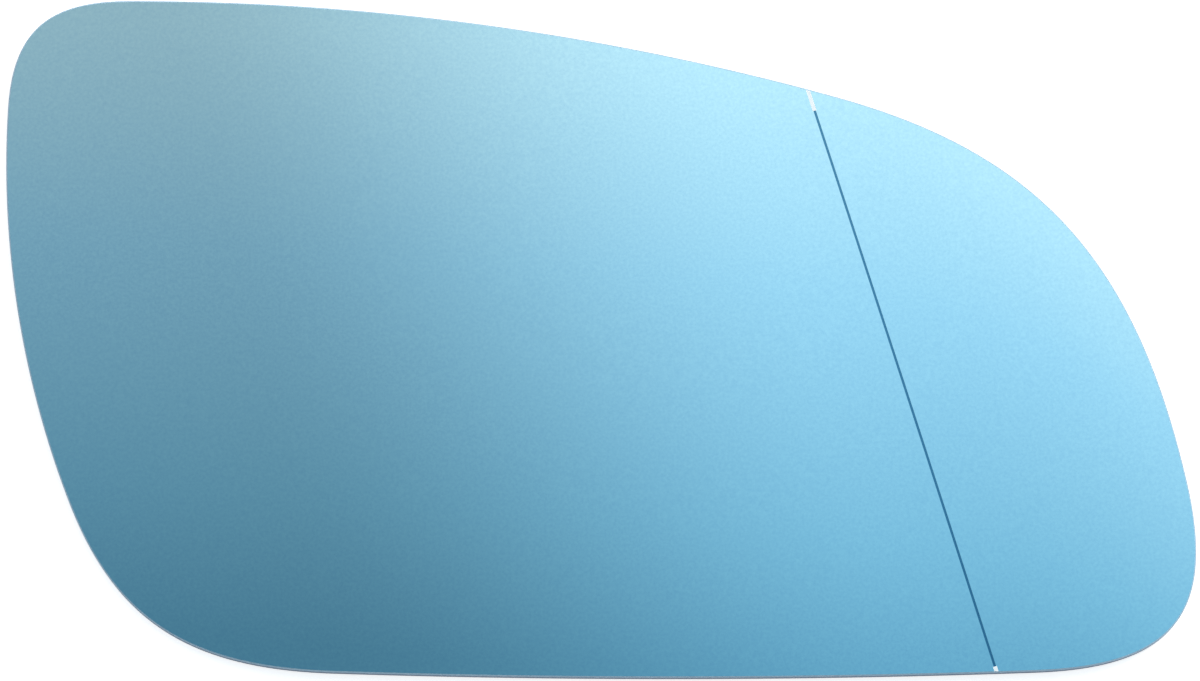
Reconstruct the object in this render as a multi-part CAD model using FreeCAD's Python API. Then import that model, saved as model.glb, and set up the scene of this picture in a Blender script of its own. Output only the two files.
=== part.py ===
import FreeCAD, Part
import math
import os

# Sizes are in millimetres and angles in degrees; the glass lies on its back with the mirrored face up.
# +X points outboard, +Y up the car and +Z out of the mirrored face.

# Corners where the four bulged sides of the outline would meet if they were left sharp
UPPER_INBOARD_X = -83.2
UPPER_INBOARD_Y = 49.0
SHOULDER_X = 73.4
SHOULDER_Y = 21.2
LOWER_OUTBOARD_X = 89.5
LOWER_OUTBOARD_Y = -46.7
LOWER_INBOARD_X = -63.2
LOWER_INBOARD_Y = -47.0

# How far the middle of each side stands out from the straight line between its corners
TOP_BULGE = 8.1
OUTBOARD_BULGE = 0.5
BOTTOM_BULGE = 2.2
INBOARD_BULGE = 8.9

# How far each rounding reaches along its two sides, and how full its curve is towards the corner
UPPER_INBOARD_REACH = 15.8
SHOULDER_REACH = 41.1
LOWER_OUTBOARD_REACH = 27.6
LOWER_INBOARD_REACH = 26.0
CORNER_FULLNESS = 0.72

# The bent sheet: a shallow dome inboard of the dividing line, curling ever tighter outboard of it
THICKNESS = 2.0
DOME_RADIUS = 1400.0
TIP_RADIUS = 250.0
TIP_DISTANCE = 35.0
CROWN_X = 12.1
CROWN_Y = 19.9

# The engraved dividing line: where it crosses the middle of the glass, its lean and its small groove
LINE_X = 41.3
LINE_LEAN = 17.4
LINE_WIDTH = 0.35
LINE_DEPTH = 0.08

# The ground bevel that takes the sharpness off both rims
ARRIS = 0.2

# Spacing of the points the bent face is drawn through, and the trimming allowance round the outline
FACE_STEP = 6.0
ALLOWANCE = 8.0


def bulged_side(start, end, bulge):
    # One long arc between two corners, standing out on the left of its run
    along = (end - start).normalize()
    outward = FreeCAD.Vector(-along.y, along.x, 0)
    return Part.Arc(start, (start + end) * 0.5 + outward * bulge, end).toShape()


def shortened(side, start_reach, end_reach):
    # The middle stretch of a side, left over between its two roundings
    room = min(1.0, 0.98 * side.Length / (start_reach + end_reach))
    first = side.FirstParameter + start_reach * room / side.Curve.Radius
    last = side.LastParameter - end_reach * room / side.Curve.Radius
    return Part.ArcOfCircle(side.Curve, first, last)


def soft_corner(before, after):
    # A rounding that leaves one side and joins the next along their own directions, with no hard radius
    start = before.EndPoint
    end = after.StartPoint
    leaving = before.tangent(before.LastParameter)[0]
    joining = after.tangent(after.FirstParameter)[0]
    gap = end - start
    turn = leaving.x * joining.y - leaving.y * joining.x
    meeting = start + leaving * ((gap.x * joining.y - gap.y * joining.x) / turn)
    curve = Part.BezierCurve()
    start_handle = start + (meeting - start) * CORNER_FULLNESS
    end_handle = end + (meeting - end) * CORNER_FULLNESS
    curve.setPoles([start, start_handle, end_handle, end])
    return curve


def outline_wire():
    # The rim seen from the front, drawn clockwise from the upper inboard corner
    corners = [
        FreeCAD.Vector(UPPER_INBOARD_X, UPPER_INBOARD_Y, 0),
        FreeCAD.Vector(SHOULDER_X, SHOULDER_Y, 0),
        FreeCAD.Vector(LOWER_OUTBOARD_X, LOWER_OUTBOARD_Y, 0),
        FreeCAD.Vector(LOWER_INBOARD_X, LOWER_INBOARD_Y, 0),
    ]
    bulges = [TOP_BULGE, OUTBOARD_BULGE, BOTTOM_BULGE, INBOARD_BULGE]
    reaches = [UPPER_INBOARD_REACH, SHOULDER_REACH, LOWER_OUTBOARD_REACH, LOWER_INBOARD_REACH]
    sides = []
    for i in range(4):
        after = (i + 1) % 4
        side = bulged_side(corners[i], corners[after], bulges[i])
        sides.append(shortened(side, reaches[i], reaches[after]))
    edges = []
    for i in range(4):
        edges.append(sides[i].toShape())
        edges.append(soft_corner(sides[i], sides[(i + 1) % 4]).toShape())
    return Part.Wire(edges)


def face_height(x, y):
    # Height of the mirrored face against its crown; past the line the bend grows evenly with distance
    from_crown = math.hypot(x - CROWN_X, y - CROWN_Y)
    dome_drop = DOME_RADIUS - math.sqrt(DOME_RADIUS ** 2 - from_crown ** 2)
    lean = math.radians(LINE_LEAN)
    past_line = max(0.0, (x - LINE_X) * math.cos(lean) + y * math.sin(lean))
    bend_growth = (1 / TIP_RADIUS - 1 / DOME_RADIUS) / TIP_DISTANCE
    return -dome_drop - bend_growth * past_line ** 3 / 6


def bent_face(box):
    # The whole bent face as one smooth surface, a little larger than the outline
    width = box.XLength + 2 * ALLOWANCE
    height = box.YLength + 2 * ALLOWANCE
    columns = math.ceil(width / FACE_STEP)
    rows = math.ceil(height / FACE_STEP)
    points = []
    for i in range(columns + 1):
        x = box.XMin - ALLOWANCE + width * i / columns
        column = []
        for j in range(rows + 1):
            y = box.YMin - ALLOWANCE + height * j / rows
            column.append(FreeCAD.Vector(x, y, face_height(x, y)))
        points.append(column)
    surface = Part.BSplineSurface()
    surface.interpolate(points)
    return surface.toShape()


def line_cutter(face, box):
    # A thin blade along the dividing line whose lower edge follows the face at the groove's depth
    length = box.XLength + box.YLength
    blade = Part.makeBox(LINE_WIDTH, length, length)
    blade.translate(FreeCAD.Vector(-LINE_WIDTH / 2, -length / 2, -length / 2))
    blade.rotate(FreeCAD.Vector(0, 0, 0), FreeCAD.Vector(0, 0, 1), LINE_LEAN)
    blade.translate(FreeCAD.Vector(LINE_X, 0, 0))
    groove_floor = face.copy()
    groove_floor.translate(FreeCAD.Vector(0, 0, -LINE_DEPTH))
    return blade.common(groove_floor.extrude(FreeCAD.Vector(0, 0, length)))


def mirror_glass():
    # Bend the sheet, cut it to the outline, grind both rims and engrave the line
    rim = outline_wire()
    box = rim.BoundBox
    face = bent_face(box)
    sheet = face.makeOffsetShape(-THICKNESS, 0.001, fill=True)
    depth = box.XLength
    blank = Part.Face(rim)
    blank.translate(FreeCAD.Vector(0, 0, -depth / 2))
    glass = sheet.common(blank.extrude(FreeCAD.Vector(0, 0, depth))).Solids[0]
    broad_faces = sorted(glass.Faces, key=lambda side: side.Area)[-2:]
    rims = broad_faces[0].Edges + broad_faces[1].Edges
    glass = glass.makeChamfer(ARRIS, rims)
    glass = glass.cut(line_cutter(face, box)).Solids[0]
    extent = glass.optimalBoundingBox(False, False)
    glass.translate(FreeCAD.Vector(-extent.Center.x, -extent.Center.y, -extent.ZMin))
    return glass


os.makedirs("parts", exist_ok=True)
mirror_glass().exportStep("parts/mirror_glass.step")
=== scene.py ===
import math

import bmesh
import bpy
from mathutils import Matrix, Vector


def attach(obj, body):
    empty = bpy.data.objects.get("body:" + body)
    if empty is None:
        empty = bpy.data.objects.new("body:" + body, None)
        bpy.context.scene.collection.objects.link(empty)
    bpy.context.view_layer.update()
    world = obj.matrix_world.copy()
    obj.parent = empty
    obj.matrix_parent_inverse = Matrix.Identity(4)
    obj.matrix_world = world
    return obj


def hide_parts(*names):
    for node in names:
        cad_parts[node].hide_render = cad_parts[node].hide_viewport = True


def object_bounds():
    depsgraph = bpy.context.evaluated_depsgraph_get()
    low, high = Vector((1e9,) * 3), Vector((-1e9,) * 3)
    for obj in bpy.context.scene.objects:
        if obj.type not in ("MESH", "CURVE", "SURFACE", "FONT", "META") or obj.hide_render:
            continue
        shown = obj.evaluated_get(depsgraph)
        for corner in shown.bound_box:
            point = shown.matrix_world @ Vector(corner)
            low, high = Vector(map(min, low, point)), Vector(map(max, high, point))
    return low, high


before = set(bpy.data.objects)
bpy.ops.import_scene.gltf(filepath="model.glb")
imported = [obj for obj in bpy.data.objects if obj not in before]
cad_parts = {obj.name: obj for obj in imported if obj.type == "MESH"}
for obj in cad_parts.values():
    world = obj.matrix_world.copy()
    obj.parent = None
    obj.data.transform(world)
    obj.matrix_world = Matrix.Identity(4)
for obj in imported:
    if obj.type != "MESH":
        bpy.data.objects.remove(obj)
cad_low, cad_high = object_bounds()

MM = 0.001

# The rim seen from the front, in millimetres: the corners where its bulged sides would meet, clockwise
# from the upper inboard one, how far each side bulges and how far each rounding reaches along its sides
CORNERS = (Vector((-83.2, 49.0)), Vector((73.4, 21.2)), Vector((89.5, -46.7)), Vector((-63.2, -47.0)))
BULGES = (8.1, 0.5, 2.2, 8.9)
REACHES = (15.8, 41.1, 27.6, 26.0)
FULLNESS = 0.72

# The bent sheet and its ground bevels, in millimetres
THICKNESS = 2.0
ARRIS = 0.2
DOME_RADIUS = 1400.0
TIP_RADIUS = 250.0
TIP_DISTANCE = 35.0
CROWN = Vector((12.1, 19.9))

# The dividing line, in millimetres, and the stretches at its two ends that no coat covers
LINE_MIDDLE = Vector((41.3, 0.0))
LINE_LEAN = math.radians(17.4)
LINE_ACROSS = Vector((math.cos(LINE_LEAN), math.sin(LINE_LEAN)))
LINE_ALONG = Vector((-math.sin(LINE_LEAN), math.cos(LINE_LEAN)))
LINE_WIDTH = 0.35
LINE_DEPTH = 0.08
BARE_WIDTH = 0.56
BARE_AT_TOP = 3.25
BARE_AT_BOTTOM = 0.75

# How finely the sheet is divided: steps along each stretch of the rim, the least gap left between its
# points in millimetres, and the rings of faces that close in on a point near the middle
RIM_STEPS = 40
RIM_GAP = 0.25
RINGS = 28
RING_CENTRE = Vector((-4.5, -3.4))

# In millimetres: how far to each side of the line faces are cut for it and for its ends, how near a cut
# has to pass by a point to run through it, and how near two places count as one
LINE_STRIP = 12.0
END_STRIP = 6.0
CUT_SNAP = 0.001
HAIR = 0.01

# Upward share of a normal: at least this on a flat face, and less than this on an upright wall
FLAT = 0.9
UPRIGHT = 0.1

# The studio, in metres: the table and the glow that lifts it to white where it is seen, the scrim and the
# directions in which it warms and brightens, the lamp, and the camera, whose aim is in millimetres
TABLE_SIZE = 7.0
TABLE_LIFT = 0.72
SCRIM_SIZE = (3.4, 2.8)
SCRIM_PLACE = (0.1, 0.45, 3.0)
SCRIM_WARMER = (math.sin(0.084), math.cos(0.084), 0)
SCRIM_BRIGHTER = (math.cos(0.266), math.sin(0.266), 0)
LAMP_PLACE = (1.45, 1.6, 1.95)
LAMP_SIZE = 1.2
LAMP_WATTS = 54
CAMERA_DISTANCE = 0.8
CAMERA_TILT = math.radians(10)
CAMERA_AIM = Vector((0.34, -1.12))
CAMERA_LENS = 168.85


def colour(code):
    """A linear colour from an sRGB hex code."""
    parts = [int(code[i:i + 2], 16) / 255 for i in (0, 2, 4)]
    linear = [p / 12.92 if p <= 0.04045 else ((p + 0.055) / 1.055) ** 2.4 for p in parts]
    return (*linear, 1.0)


def add_node(tree, kind, settings=(), values=(), links=()):
    """Adds one node, with its settings, its socket values and what feeds its sockets."""
    made = tree.nodes.new(kind)
    for name, value in dict(settings).items():
        setattr(made, name, value)
    for socket, value in dict(values).items():
        made.inputs[socket].default_value = value
    for socket, source in dict(links).items():
        tree.links.new(source, made.inputs[socket])
    return made


def empty_material(name):
    """A material with no nodes in its tree yet."""
    material = bpy.data.materials.new(name)
    material.use_nodes = True
    material.node_tree.nodes.clear()
    return material, material.node_tree


def new_finish(name):
    """A material with its shader and its object coordinates."""
    material, tree = empty_material(name)
    shader = add_node(tree, "ShaderNodeBsdfPrincipled")
    add_node(tree, "ShaderNodeOutputMaterial", links={"Surface": shader.outputs["BSDF"]})
    place = add_node(tree, "ShaderNodeTexCoord").outputs["Object"]
    return material, tree, shader, place


def blue_chrome_coat():
    """Blue chrome sputtered on polished glass: a clear cool mirror with a faint sand-fine mottle."""
    material, tree, shader, place = new_finish("blue_chrome_coat")
    mottle = add_node(tree, "ShaderNodeTexNoise", values={"Scale": 1 / (0.45 * MM), "Detail": 2.0},
                      links={"Vector": place})
    drift = add_node(tree, "ShaderNodeTexNoise", values={"Scale": 1 / (38 * MM), "Detail": 1.0},
                     links={"Vector": place})
    grain = add_node(tree, "ShaderNodeMapRange", values={"From Min": 0.25, "From Max": 0.75},
                     links={"Value": mottle.outputs["Fac"]})
    fine = add_node(tree, "ShaderNodeMix", settings={"data_type": "RGBA"},
                    values={"A": colour("8ABED9"), "B": colour("94C8DF")},
                    links={"Factor": grain.outputs["Result"]})
    tone = add_node(tree, "ShaderNodeMix", settings={"data_type": "RGBA", "blend_type": "MULTIPLY"},
                    values={"B": colour("FBFDFF")},
                    links={"Factor": drift.outputs["Fac"], "A": fine.outputs["Result"]})
    polish = add_node(tree, "ShaderNodeMapRange", values={"To Min": 0.03, "To Max": 0.06},
                      links={"Value": drift.outputs["Fac"]})
    tree.links.new(tone.outputs["Result"], shader.inputs["Base Color"])
    tree.links.new(polish.outputs["Result"], shader.inputs["Roughness"])
    shader.inputs["Metallic"].default_value = 1.0
    return material


def thinned_chrome_coat():
    """The coat ground thin along the groove: the dark lacquer behind shows through it as navy blue.
    The scratches of the stone are drawn coarser than they are, so that they show."""
    material, tree, shader, place = new_finish("thinned_chrome_coat")
    scratches = add_node(tree, "ShaderNodeTexNoise", values={"Scale": 1 / (0.5 * MM), "Detail": 2.0},
                         links={"Vector": place})
    tone = add_node(tree, "ShaderNodeMix", settings={"data_type": "RGBA"},
                    values={"A": colour("366C91"), "B": colour("407A9E")},
                    links={"Factor": scratches.outputs["Fac"]})
    rough = add_node(tree, "ShaderNodeMapRange", values={"To Min": 0.1, "To Max": 0.2},
                     links={"Value": scratches.outputs["Fac"]})
    tree.links.new(tone.outputs["Result"], shader.inputs["Base Color"])
    tree.links.new(rough.outputs["Result"], shader.inputs["Roughness"])
    shader.inputs["Metallic"].default_value = 1.0
    return material


def bare_glass_painted_light():
    """Cut glass with no coat before or behind it. Its white is painted light: the table lit under the rim,
    seen through the clear glass, painted onto it as a white finish.
    """
    material, tree, shader, place = new_finish("bare_glass_painted_light")
    frost = add_node(tree, "ShaderNodeTexNoise", values={"Scale": 1 / (0.4 * MM), "Detail": 2.0},
                     links={"Vector": place})
    # These near-white tones are painted light: the lit table under the rim, as it shows through bare glass
    tone = add_node(tree, "ShaderNodeMix", settings={"data_type": "RGBA"},
                    values={"A": colour("ECF9FE"), "B": colour("F8FEFF")},
                    links={"Factor": frost.outputs["Fac"]})
    tree.links.new(tone.outputs["Result"], shader.inputs["Base Color"])
    shader.inputs["Roughness"].default_value = 0.4
    return material


def belt_ground_glass():
    """Glass bevelled on a fine belt: frosted and dull, a pale blue grey.
    The marks of the grit are drawn coarser than they are, so that they show."""
    material, tree, shader, place = new_finish("belt_ground_glass")
    grit = add_node(tree, "ShaderNodeTexNoise", values={"Scale": 1 / (0.35 * MM), "Detail": 3.0},
                    links={"Vector": place})
    tone = add_node(tree, "ShaderNodeMix", settings={"data_type": "RGBA"},
                    values={"A": colour("99B8CD"), "B": colour("A9C8DD")},
                    links={"Factor": grit.outputs["Fac"]})
    bump = add_node(tree, "ShaderNodeBump", values={"Strength": 0.25, "Distance": 0.02 * MM},
                    links={"Height": grit.outputs["Fac"]})
    tree.links.new(tone.outputs["Result"], shader.inputs["Base Color"])
    tree.links.new(bump.outputs["Normal"], shader.inputs["Normal"])
    shader.inputs["Roughness"].default_value = 0.5
    return material


def wheel_ground_glass():
    """Edge of the sheet, ground on a wheel: matt slate blue, because the dark back shows into the glass.
    The marks of the wheel are drawn coarser than they are, so that they show."""
    material, tree, shader, place = new_finish("wheel_ground_glass")
    grit = add_node(tree, "ShaderNodeTexNoise", values={"Scale": 1 / (0.5 * MM), "Detail": 3.0},
                    links={"Vector": place})
    tone = add_node(tree, "ShaderNodeMix", settings={"data_type": "RGBA"},
                    values={"A": colour("2E4B6A"), "B": colour("3A5978")},
                    links={"Factor": grit.outputs["Fac"]})
    bump = add_node(tree, "ShaderNodeBump", values={"Strength": 0.3, "Distance": 0.03 * MM},
                    links={"Height": grit.outputs["Fac"]})
    tree.links.new(tone.outputs["Result"], shader.inputs["Base Color"])
    tree.links.new(bump.outputs["Normal"], shader.inputs["Normal"])
    shader.inputs["Roughness"].default_value = 0.55
    return material


def rolled_lacquer():
    """Protective lacquer rolled on the back: dark grey, half dull, with a fine roller skin."""
    material, tree, shader, place = new_finish("rolled_lacquer")
    skin = add_node(tree, "ShaderNodeTexNoise", values={"Scale": 1 / (1.2 * MM), "Detail": 3.0},
                    links={"Vector": place})
    cloud = add_node(tree, "ShaderNodeTexNoise", values={"Scale": 1 / (22 * MM), "Detail": 2.0},
                     links={"Vector": place})
    tone = add_node(tree, "ShaderNodeMix", settings={"data_type": "RGBA"},
                    values={"A": colour("2A2E35"), "B": colour("383D45")},
                    links={"Factor": cloud.outputs["Fac"]})
    rough = add_node(tree, "ShaderNodeMapRange", values={"To Min": 0.38, "To Max": 0.55},
                     links={"Value": skin.outputs["Fac"]})
    bump = add_node(tree, "ShaderNodeBump", values={"Strength": 0.2, "Distance": 0.05 * MM},
                    links={"Height": skin.outputs["Fac"]})
    tree.links.new(tone.outputs["Result"], shader.inputs["Base Color"])
    tree.links.new(rough.outputs["Result"], shader.inputs["Roughness"])
    tree.links.new(bump.outputs["Normal"], shader.inputs["Normal"])
    return material


# The finishes in the order of the sheet's material slots, and the names of those slots
FINISHES = (blue_chrome_coat, thinned_chrome_coat, bare_glass_painted_light,
            belt_ground_glass, wheel_ground_glass, rolled_lacquer)
MIRROR, LINE, BARE_END, BEVEL, EDGE, BACK = range(len(FINISHES))


def rim_side(i):
    """A bulged side of the rim between its roundings: both ends with their headings, and its handle."""
    start, end = CORNERS[i], CORNERS[(i + 1) % 4]
    chord = (end - start).length
    along = (end - start) / chord
    outward = Vector((-along.y, along.x))
    radius = (chord ** 2 / 4 + BULGES[i] ** 2) / (2 * BULGES[i])
    centre = (start + end) / 2 + outward * (BULGES[i] - radius)
    half = math.asin(chord / 2 / radius)
    turns = (REACHES[i] / radius - half, half - REACHES[(i + 1) % 4] / radius)
    ends = []
    for turn in turns:
        spoke = outward * math.cos(turn) + along * math.sin(turn)
        heading = along * math.cos(turn) - outward * math.sin(turn)
        ends.append((centre + spoke * radius, heading))
    handle = 4 / 3 * math.tan((turns[1] - turns[0]) / 4) * radius
    return ends[0], ends[1], handle


def corner_handle(point, heading, other, other_heading):
    """Length of a rounding's handle: a share of the way to where the two directions meet."""
    gap = other - point
    turn = heading.x * other_heading.y - heading.y * other_heading.x
    return FULLNESS * (gap.x * other_heading.y - gap.y * other_heading.x) / turn


def rim_knots():
    """The eight knots of the rim curve with their handles, in millimetres, two to a side."""
    sides = [rim_side(i) for i in range(4)]
    knots = []
    for i in range(4):
        (first, setting_out), (last, arriving), handle = sides[i]
        before, before_heading = sides[i - 1][1]
        after, after_heading = sides[(i + 1) % 4][0]
        back = corner_handle(first, -setting_out, before, before_heading)
        ahead = corner_handle(last, arriving, after, -after_heading)
        knots.append((first, first - setting_out * back, first + setting_out * handle))
        knots.append((last, last - arriving * handle, last + arriving * ahead))
    return knots


def pick(kind, wanted):
    """Selects the faces or edges of the piece in edit mode that the test wants, and nothing else."""
    bpy.ops.mesh.select_mode(type=kind)
    bpy.ops.mesh.select_all(action="DESELECT")
    shape = bmesh.from_edit_mesh(bpy.context.object.data)
    for part in shape.faces if kind == "FACE" else shape.edges:
        part.select_set(wanted(part))
    bmesh.update_edit_mesh(bpy.context.object.data)


def from_line(point):
    """How far a point lies across the dividing line and along it, in millimetres."""
    offset = Vector((point.x, point.y)) / MM - LINE_MIDDLE
    return offset.dot(LINE_ACROSS), offset.dot(LINE_ALONG)


def near_line(face, reach):
    """True for a face of the flat front whose middle lies no further from the line than the reach."""
    middle = face.calc_center_median()
    on_front = face.normal.z > FLAT and middle.z > -LINE_DEPTH / 2 * MM
    return on_front and abs(from_line(middle)[0]) < reach


def cut(facing, distance):
    """Cuts the picked faces straight across, square to facing, so far from the middle of the line."""
    place = LINE_MIDDLE + facing * distance
    bpy.ops.mesh.bisect(plane_co=(*place * MM, 0), plane_no=(*facing, 0), threshold=CUT_SNAP * MM)


def flat_sheet():
    """Cuts the flat sheet: the rim drawn as a curve, filled, thickened, bevelled and divided in rings."""
    bpy.ops.object.select_all(action="DESELECT")
    bpy.ops.curve.primitive_bezier_circle_add(radius=cad_high.x, enter_editmode=True)
    bpy.ops.curve.select_all(action="SELECT")
    bpy.ops.curve.subdivide(number_cuts=1)
    bpy.ops.object.mode_set(mode="OBJECT")
    rim = bpy.context.object
    rim.data.resolution_u = RIM_STEPS
    for point, (knot, back, ahead) in zip(rim.data.splines[0].bezier_points, rim_knots()):
        point.handle_left_type = point.handle_right_type = "FREE"
        point.co = (*knot * MM, 0)
        point.handle_left = (*back * MM, 0)
        point.handle_right = (*ahead * MM, 0)
    bpy.ops.object.convert(target="MESH")
    sheet = bpy.context.object
    sheet.name = sheet.data.name = "mirror_glass_sheet"
    bpy.ops.object.mode_set(mode="EDIT")
    bpy.ops.mesh.select_all(action="SELECT")
    bpy.ops.mesh.remove_doubles(threshold=RIM_GAP * MM)
    bpy.ops.mesh.edge_face_add()
    bpy.ops.mesh.extrude_region_move(TRANSFORM_OT_translate={"value": (0, 0, -THICKNESS * MM)})
    bpy.ops.mesh.select_all(action="SELECT")
    bpy.ops.mesh.normals_make_consistent(inside=False)
    pick("EDGE", lambda edge: abs(edge.verts[0].co.z - edge.verts[1].co.z) < HAIR * MM)
    bpy.ops.mesh.bevel(offset=ARRIS * MM, segments=1, affect="EDGES")
    for up in (1, -1):
        pick("FACE", lambda face: face.normal.z * up > FLAT)
        # A hair's inset makes each ring, and drawing in what lies inside it gives the ring its width
        for ring in range(RINGS, 0, -1):
            bpy.ops.mesh.inset(thickness=2 * HAIR * MM)
            inner = (ring + 1) / (ring + 2)
            bpy.ops.transform.resize(value=(inner, inner, 1), center_override=(*RING_CENTRE * MM, 0))
        bpy.ops.mesh.poke()
    bpy.ops.object.mode_set(mode="OBJECT")
    return sheet


def engrave(sheet):
    """Grinds the dividing line into the flat front, and returns where its coat ends at top and bottom."""
    bpy.ops.object.mode_set(mode="EDIT")
    for distance in (-LINE_WIDTH / 2, LINE_WIDTH / 2):
        pick("FACE", lambda face: near_line(face, LINE_STRIP))
        cut(LINE_ACROSS, distance)
    front = [from_line(v.co) for v in bmesh.from_edit_mesh(sheet.data).verts if v.co.z > -HAIR * MM]
    reached = [along for across, along in front if abs(abs(across) - LINE_WIDTH / 2) < HAIR]
    top = max(reached) - BARE_AT_TOP
    bottom = min(reached) + BARE_AT_BOTTOM
    for level in (top, bottom):
        pick("FACE", lambda face: near_line(face, END_STRIP))
        cut(LINE_ALONG, level)

    def coated(face):
        return bottom < from_line(face.calc_center_median())[1] < top

    for distance in (-BARE_WIDTH / 2, BARE_WIDTH / 2):
        pick("FACE", lambda face: near_line(face, END_STRIP) and not coated(face))
        cut(LINE_ACROSS, distance)
    pick("FACE", lambda face: near_line(face, LINE_WIDTH / 2) and coated(face))
    bpy.ops.mesh.extrude_region_move(TRANSFORM_OT_translate={"value": (0, 0, -LINE_DEPTH * MM)})
    # The bevels and insets number their faces anew in each run, so the mesh is put in one fixed order
    bpy.ops.mesh.select_all(action="SELECT")
    bpy.ops.mesh.sort_elements(type="CURSOR_DISTANCE", elements={"VERT", "EDGE", "FACE"})
    bpy.ops.object.mode_set(mode="OBJECT")
    return top, bottom


def finish_of(face, top, bottom):
    """The slot of a face of the flat sheet, by where it lies and which way it points."""
    across, along = from_line(face.center)
    depth = -face.center.z / MM
    rise = face.normal.z
    if rise < -FLAT:
        return BACK
    if rise > FLAT:
        if abs(depth - LINE_DEPTH) < HAIR:
            return LINE
        return BARE_END if abs(across) < BARE_WIDTH / 2 and not bottom < along < top else MIRROR
    if abs(rise) < UPRIGHT:
        return LINE if depth < LINE_DEPTH and abs(across) < LINE_WIDTH else EDGE
    return BEVEL if depth < THICKNESS / 2 else EDGE


def sag(x, y):
    """Height of the bent face against its crown; past the line the bend grows evenly with distance."""
    drop = DOME_RADIUS - math.sqrt(DOME_RADIUS ** 2 - (Vector((x, y)) - CROWN).length_squared)
    past = max(0.0, (Vector((x, y)) - LINE_MIDDLE).dot(LINE_ACROSS))
    growth = (1 / TIP_RADIUS - 1 / DOME_RADIUS) / TIP_DISTANCE
    return -drop - growth * past ** 3 / 6


def bend(sheet):
    """Bends the flat sheet to its dome and sets it down where the solid lies."""
    for vertex in sheet.data.vertices:
        vertex.co.z += sag(vertex.co.x / MM, vertex.co.y / MM) * MM
    low = Vector([min(v.co[i] for v in sheet.data.vertices) for i in range(3)])
    high = Vector([max(v.co[i] for v in sheet.data.vertices) for i in range(3)])
    home = (cad_low + cad_high) / 2 - (low + high) / 2
    home.z = cad_low.z - low.z
    for vertex in sheet.data.vertices:
        vertex.co += home


def mirror_glass():
    """The whole glass: cut flat, engraved, given its finishes, bent and shaded smooth."""
    sheet = flat_sheet()
    top, bottom = engrave(sheet)
    for make in FINISHES:
        sheet.data.materials.append(make())
    for face in sheet.data.polygons:
        face.material_index = finish_of(face, top, bottom)
    bend(sheet)
    bpy.ops.object.select_all(action="DESELECT")
    sheet.select_set(True)
    bpy.context.view_layer.objects.active = sheet
    bpy.ops.object.shade_smooth_by_angle(angle=math.radians(30))
    return sheet


def seen_directly(tree):
    """One where a ray comes from the camera, a shine or through glass, and nought elsewhere."""
    rays = add_node(tree, "ShaderNodeLightPath")
    shine = add_node(tree, "ShaderNodeMath", settings={"operation": "MAXIMUM"},
                     links={0: rays.outputs["Is Glossy Ray"], 1: rays.outputs["Is Transmission Ray"]})
    seen = add_node(tree, "ShaderNodeMath", settings={"operation": "MAXIMUM"},
                    links={0: rays.outputs["Is Camera Ray"], 1: shine.outputs[0]})
    return seen.outputs[0]


def white_table():
    """A wide white table; seen directly or in a shine it is lifted to white and keeps its soft shadow."""
    bpy.ops.object.select_all(action="DESELECT")
    bpy.ops.mesh.primitive_plane_add(size=TABLE_SIZE)
    floor = bpy.context.object
    floor.name = "floor"
    material, tree = empty_material("white_table")
    paper = add_node(tree, "ShaderNodeBsdfDiffuse", values={"Color": colour("F3F3F3")})
    lift = add_node(tree, "ShaderNodeMath", settings={"operation": "MULTIPLY"},
                    values={1: TABLE_LIFT}, links={0: seen_directly(tree)})
    glow = add_node(tree, "ShaderNodeEmission", links={"Strength": lift.outputs[0]})
    both = add_node(tree, "ShaderNodeAddShader", links={0: paper.outputs[0], 1: glow.outputs[0]})
    add_node(tree, "ShaderNodeOutputMaterial", links={"Surface": both.outputs[0]})
    floor.data.materials.append(material)


def overhead_scrim():
    """A large scrim over the table, bright at its far outboard corner and fading to a cool dim sheet."""
    bpy.ops.object.select_all(action="DESELECT")
    bpy.ops.mesh.primitive_plane_add(size=1.0)
    scrim = bpy.context.object
    scrim.name = "scrim"
    bpy.ops.transform.resize(value=(*SCRIM_SIZE, 1))
    bpy.ops.transform.translate(value=SCRIM_PLACE)
    bpy.ops.object.transform_apply(location=True, rotation=True, scale=True)
    material, tree = empty_material("graduated_scrim")
    place = add_node(tree, "ShaderNodeTexCoord").outputs["Object"]
    depth = add_node(tree, "ShaderNodeVectorMath", settings={"operation": "DOT_PRODUCT"},
                     values={1: SCRIM_WARMER}, links={0: place})
    reach = add_node(tree, "ShaderNodeMapRange", values={"From Min": 0.0, "From Max": 0.83},
                     links={"Value": depth.outputs["Value"]})
    tone = add_node(tree, "ShaderNodeValToRGB", links={"Fac": reach.outputs["Result"]})
    near, far = tone.color_ramp.elements
    near.color = colour("809FA9")
    far.color = colour("FAEADF")
    tone.color_ramp.elements.new(0.241).color = colour("A1B8BE")
    tone.color_ramp.elements.new(0.627).color = colour("CBD2D3")
    side = add_node(tree, "ShaderNodeVectorMath", settings={"operation": "DOT_PRODUCT"},
                    values={1: SCRIM_BRIGHTER}, links={0: place})
    power = add_node(tree, "ShaderNodeMapRange", settings={"interpolation_type": "SMOOTHSTEP"},
                     values={"From Min": -0.41, "From Max": 0.39, "To Min": 1.02, "To Max": 2.0},
                     links={"Value": side.outputs["Value"]})
    glow = add_node(tree, "ShaderNodeEmission",
                    links={"Color": tone.outputs["Color"], "Strength": power.outputs["Result"]})
    add_node(tree, "ShaderNodeOutputMaterial", links={"Surface": glow.outputs[0]})
    scrim.data.materials.append(material)


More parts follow.
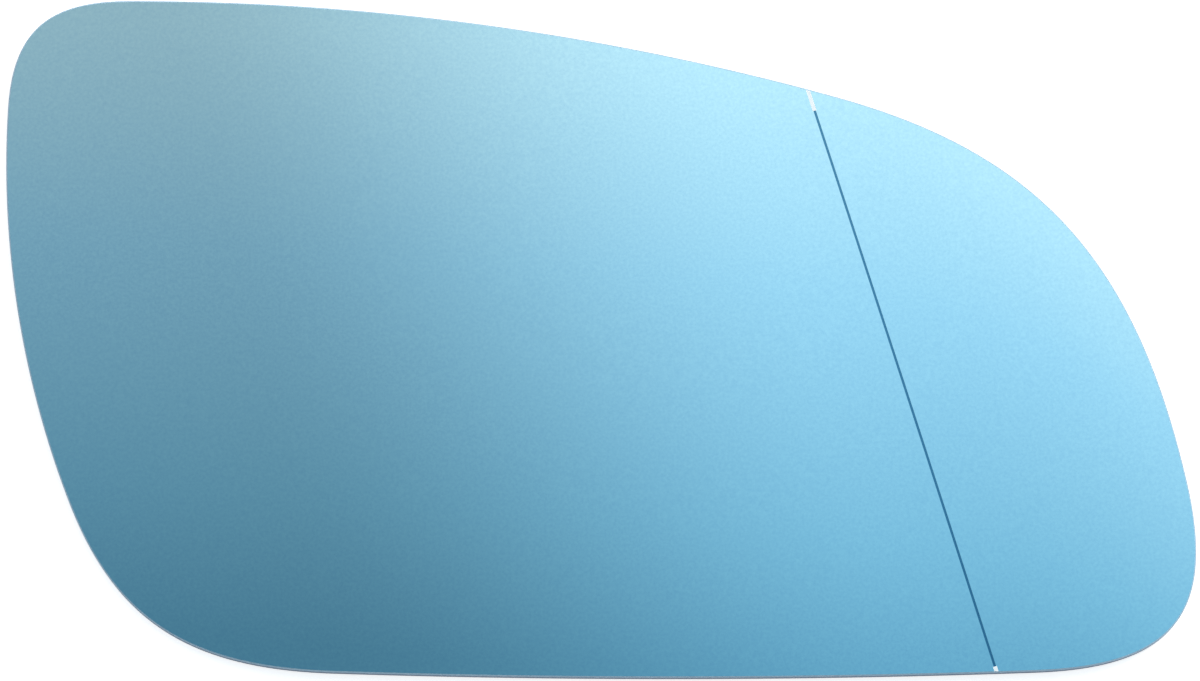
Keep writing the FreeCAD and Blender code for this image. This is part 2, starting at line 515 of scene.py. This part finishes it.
def studio_world():
    """White walls round the table, greyer under the ceiling; less light comes from the near side."""
    world = bpy.data.worlds.new("studio")
    bpy.context.scene.world = world
    world.use_nodes = True
    tree = world.node_tree
    tree.nodes.clear()
    way = add_node(tree, "ShaderNodeTexCoord").outputs["Generated"]
    split = add_node(tree, "ShaderNodeSeparateXYZ", links={"Vector": way})
    height = add_node(tree, "ShaderNodeMapRange", settings={"interpolation_type": "SMOOTHSTEP"},
                      values={"From Min": 0.04, "From Max": 0.8}, links={"Value": split.outputs["Z"]})
    tone = add_node(tree, "ShaderNodeMix", settings={"data_type": "RGBA"},
                    values={"A": colour("FFFFFF"), "B": colour("7F8C99")},
                    links={"Factor": height.outputs["Result"]})
    side = add_node(tree, "ShaderNodeMapRange", settings={"interpolation_type": "SMOOTHSTEP"},
                    values={"From Min": -0.9, "From Max": 0.4, "To Min": 0.66},
                    links={"Value": split.outputs["Y"]})
    level = add_node(tree, "ShaderNodeMath", settings={"operation": "MAXIMUM"},
                     links={0: side.outputs["Result"], 1: seen_directly(tree)})
    walls = add_node(tree, "ShaderNodeBackground",
                     links={"Color": tone.outputs["Result"], "Strength": level.outputs[0]})
    add_node(tree, "ShaderNodeOutputWorld", links={"Surface": walls.outputs[0]})


def key_lamp():
    """A broad softbox over the far outboard side, kept out of the mirror, where its disc would burn out."""
    bpy.ops.object.select_all(action="DESELECT")
    bpy.ops.object.light_add(type="AREA", location=LAMP_PLACE)
    lamp = bpy.context.object
    lamp.data.shape = "DISK"
    lamp.data.size = LAMP_SIZE
    lamp.data.energy = LAMP_WATTS
    lamp.visible_glossy = False
    lamp.rotation_euler = (-lamp.location).to_track_quat("-Z", "Y").to_euler()


def photo_camera():
    """A long lens at the photo's distance and tilt, a little below straight on."""
    bpy.ops.object.select_all(action="DESELECT")
    target = Vector((*CAMERA_AIM * MM, cad_high.z))
    back = Vector((0, -math.sin(CAMERA_TILT), math.cos(CAMERA_TILT)))
    bpy.ops.object.camera_add(location=target + back * CAMERA_DISTANCE, rotation=(CAMERA_TILT, 0, 0))
    camera = bpy.context.object
    camera.data.sensor_width = 36.0
    camera.data.lens = CAMERA_LENS
    bpy.context.scene.camera = camera


glass = mirror_glass()
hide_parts("mirror_glass")
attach(glass, "root")

white_table()
overhead_scrim()
studio_world()
key_lamp()
photo_camera()
bpy.context.scene.view_settings.view_transform = "Standard"
